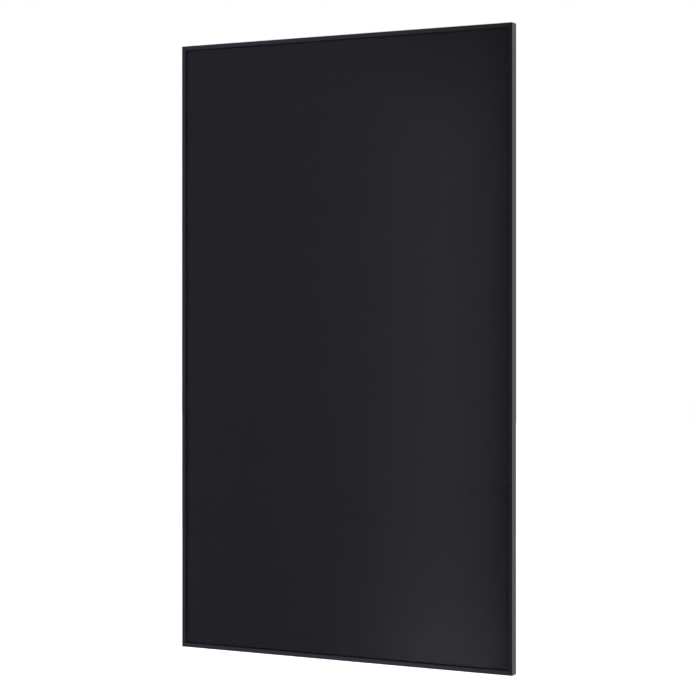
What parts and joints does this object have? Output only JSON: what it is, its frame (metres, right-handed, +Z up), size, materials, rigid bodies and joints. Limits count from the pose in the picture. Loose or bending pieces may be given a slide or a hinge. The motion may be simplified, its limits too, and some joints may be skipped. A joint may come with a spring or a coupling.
{
  "type": "solar panel",
  "caption": "Framed photovoltaic panel, all black, with glass front, mitred aluminium frame, slotted rear flanges and rear junction boxes with hinged lids.",
  "frame": {"origin": "centre of the panel's outer box", "axes": "+Z up the long side, +X to the right as seen from the front, -Y out of the glass"},
  "size_m": [1.038, 0.03, 1.755],
  "materials": {
    "frame_metal": "satin",
    "key_metal": "satin",
    "seal_silicone": "matte",
    "solar_glass": "satin",
    "clear_film": "satin",
    "silicon_cell": "satin",
    "tinned_copper": "satin",
    "black_backsheet": "matte",
    "box_plastic": "matte",
    "diode_resin": "satin",
    "pad_silicone": "matte"
  },
  "bodies": {
    "panel": {"frame_left": "frame_metal", "frame_right": "frame_metal", "frame_top": "frame_metal", "frame_bottom": "frame_metal", "corner_key_bottom_left": "key_metal", "corner_key_bottom_right": "key_metal", "corner_key_top_left": "key_metal", "corner_key_top_right": "key_metal", "edge_seal": "seal_silicone", "front_glass": "solar_glass", "front_encapsulant": "clear_film", "rear_encapsulant": "clear_film", "backsheet": "black_backsheet", "cell_string_upper_1": "silicon_cell", "cell_string_upper_2": "silicon_cell", "cell_string_upper_3": "silicon_cell", "cell_string_upper_4": "silicon_cell", "cell_string_upper_5": "silicon_cell", "cell_string_upper_6": "silicon_cell", "cell_string_lower_1": "silicon_cell", "cell_string_lower_2": "silicon_cell", "cell_string_lower_3": "silicon_cell", "cell_string_lower_4": "silicon_cell", "cell_string_lower_5": "silicon_cell", "cell_string_lower_6": "silicon_cell", "top_link_1": "tinned_copper", "top_link_2": "tinned_copper", "top_link_3": "tinned_copper", "bottom_link_1": "tinned_copper", "bottom_link_2": "tinned_copper", "bottom_link_3": "tinned_copper", "middle_bus_1": "tinned_copper", "middle_bus_2": "tinned_copper", "middle_bus_3": "tinned_copper", "middle_bus_4": "tinned_copper", "box_base_left": "box_plastic", "lid_seal_left": "seal_silicone", "box_adhesive_left": "pad_silicone", "bypass_diode_left": "diode_resin", "terminal_left_a": "tinned_copper", "terminal_left_b": "tinned_copper", "box_base_middle": "box_plastic", "lid_seal_middle": "seal_silicone", "box_adhesive_middle": "pad_silicone", "bypass_diode_middle": "diode_resin", "terminal_middle_a": "tinned_copper", "terminal_middle_b": "tinned_copper", "box_base_right": "box_plastic", "lid_seal_right": "seal_silicone", "box_adhesive_right": "pad_silicone", "bypass_diode_right": "diode_resin", "terminal_right_a": "tinned_copper", "terminal_right_b": "tinned_copper", "cable_gland_left": "box_plastic", "cable_gland_right": "box_plastic"},
    "lid_left": {"box_lid_left": "box_plastic"},
    "lid_middle": {"box_lid_middle": "box_plastic"},
    "lid_right": {"box_lid_right": "box_plastic"}
  },
  "joints": [
    {"name": "lid_left_hinge", "type": "hinge", "parent": "panel", "child": "lid_left", "pos_m": [-0.336, 0.00763, 0.0312], "axis": [1, 0, 0], "range_deg": [0, 115]},
    {"name": "lid_middle_hinge", "type": "hinge", "parent": "panel", "child": "lid_middle", "pos_m": [0, 0.00763, 0.0312], "axis": [1, 0, 0], "range_deg": [0, 115]},
    {"name": "lid_right_hinge", "type": "hinge", "parent": "panel", "child": "lid_right", "pos_m": [0.336, 0.00763, 0.0312], "axis": [1, 0, 0], "range_deg": [0, 115]}
  ]
}
